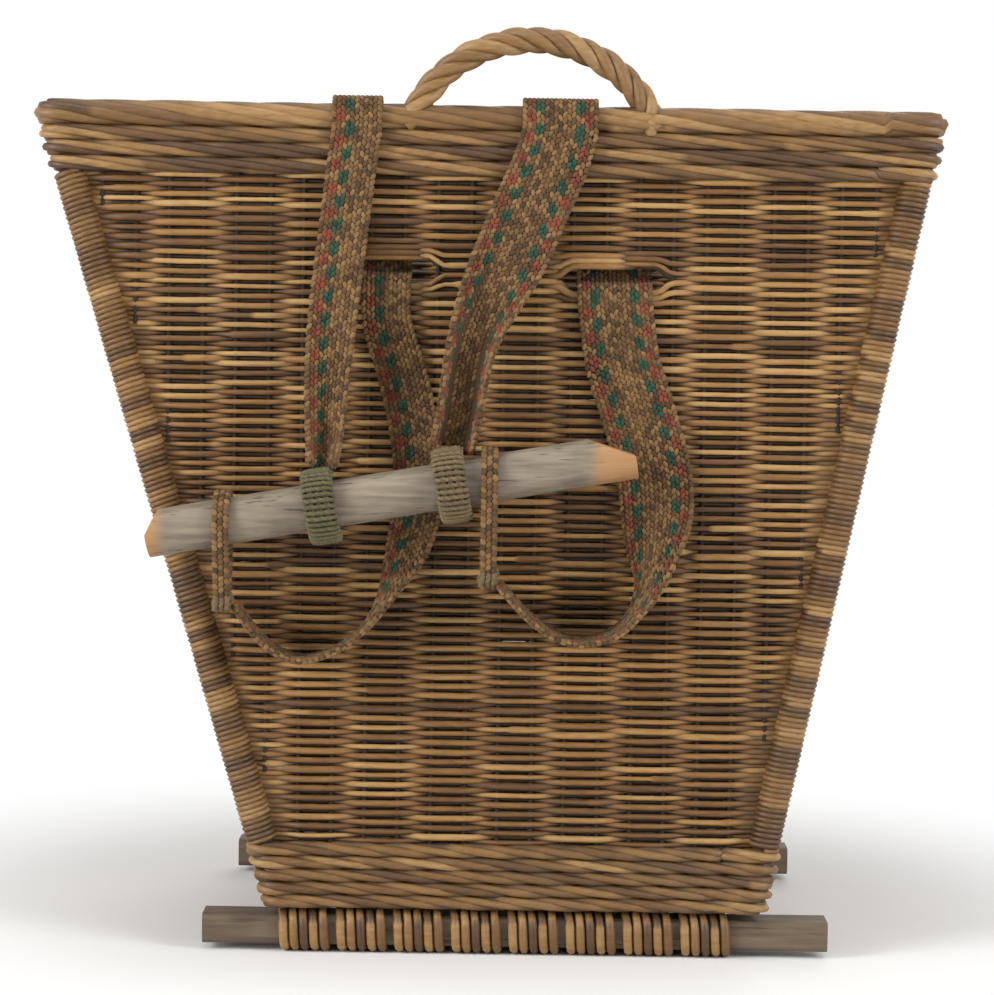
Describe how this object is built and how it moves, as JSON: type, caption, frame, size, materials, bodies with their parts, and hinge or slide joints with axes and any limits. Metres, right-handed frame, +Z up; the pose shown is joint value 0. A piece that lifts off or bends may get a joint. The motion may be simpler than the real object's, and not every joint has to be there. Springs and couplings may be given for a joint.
{
  "type": "back basket",
  "caption": "Tapered rectangular willow basket with a twisted carrying handle, woven shoulder straps held by a wooden toggle stick, and lashed wooden runners underneath.",
  "frame": {"origin": "Middle of the bounding box, on the surface that the basket stands on.", "axes": "+X runs along the strap wall, to the right of someone facing the straps; -Y is the side that the straps hang on; +Z is up."},
  "size_m": [0.588, 0.4261, 0.6065],
  "materials": {
    "willow": "peeled and boiled willow, aged golden brown, slight natural sheen",
    "weathered_wood": "weathered grey-brown split wood",
    "hewn_wood": "hewn and handled wood, paler where the ends are cut",
    "woven_strap": "tablet-woven wool and hemp band, tan with red and green stitches",
    "whipped_cord": "hemp cord whipping, matt"
  },
  "bodies": {
    "root": {"base_sticks": "willow", "base_weave": "willow", "border": "willow", "corner_post_far_left": "willow", "corner_post_far_right": "willow", "corner_post_strap_left": "willow", "corner_post_strap_right": "willow", "corner_weave_far_left": "willow", "corner_weave_far_right": "willow", "corner_weave_strap_left": "willow", "corner_weave_strap_right": "willow", "far_runner": "weathered_wood", "far_runner_lashing": "willow", "far_wall_stakes": "willow", "far_wall_weave": "willow", "handle_bow": "willow", "handle_rope": "willow", "left_strap_neck": "woven_strap", "left_strap_saddle": "woven_strap", "left_wall_stakes": "willow", "left_wall_weave": "willow", "right_strap_neck": "woven_strap", "right_strap_saddle": "woven_strap", "right_wall_stakes": "willow", "right_wall_weave": "willow", "strap_runner": "weathered_wood", "strap_runner_lashing": "willow", "strap_wall_stakes": "willow", "strap_wall_weave": "willow", "top_wale": "willow", "upsett_wale": "willow"},
    "harness": {"left_lower_loop": "whipped_cord", "left_strap_front": "woven_strap", "left_strap_tail": "woven_strap", "left_upper_loop": "whipped_cord", "left_upper_whipping": "whipped_cord", "right_lower_loop": "whipped_cord", "right_strap_front": "woven_strap", "right_strap_tail": "woven_strap", "right_upper_loop": "whipped_cord", "right_upper_whipping": "whipped_cord"},
    "toggle": {"toggle_stick": "hewn_wood"}
  },
  "joints": [
    {"name": "harness_swing", "type": "hinge", "parent": "root", "child": "harness", "pos_m": [0, -0.15895, 0.538], "axis": [-1, 0, 0], "range_deg": [0, 30]},
    {"name": "toggle_slide", "type": "slide", "parent": "harness", "child": "toggle", "axis": [0.9845, 0, 0.1754], "range_m": [-0.08, 0.24]}
  ]
}
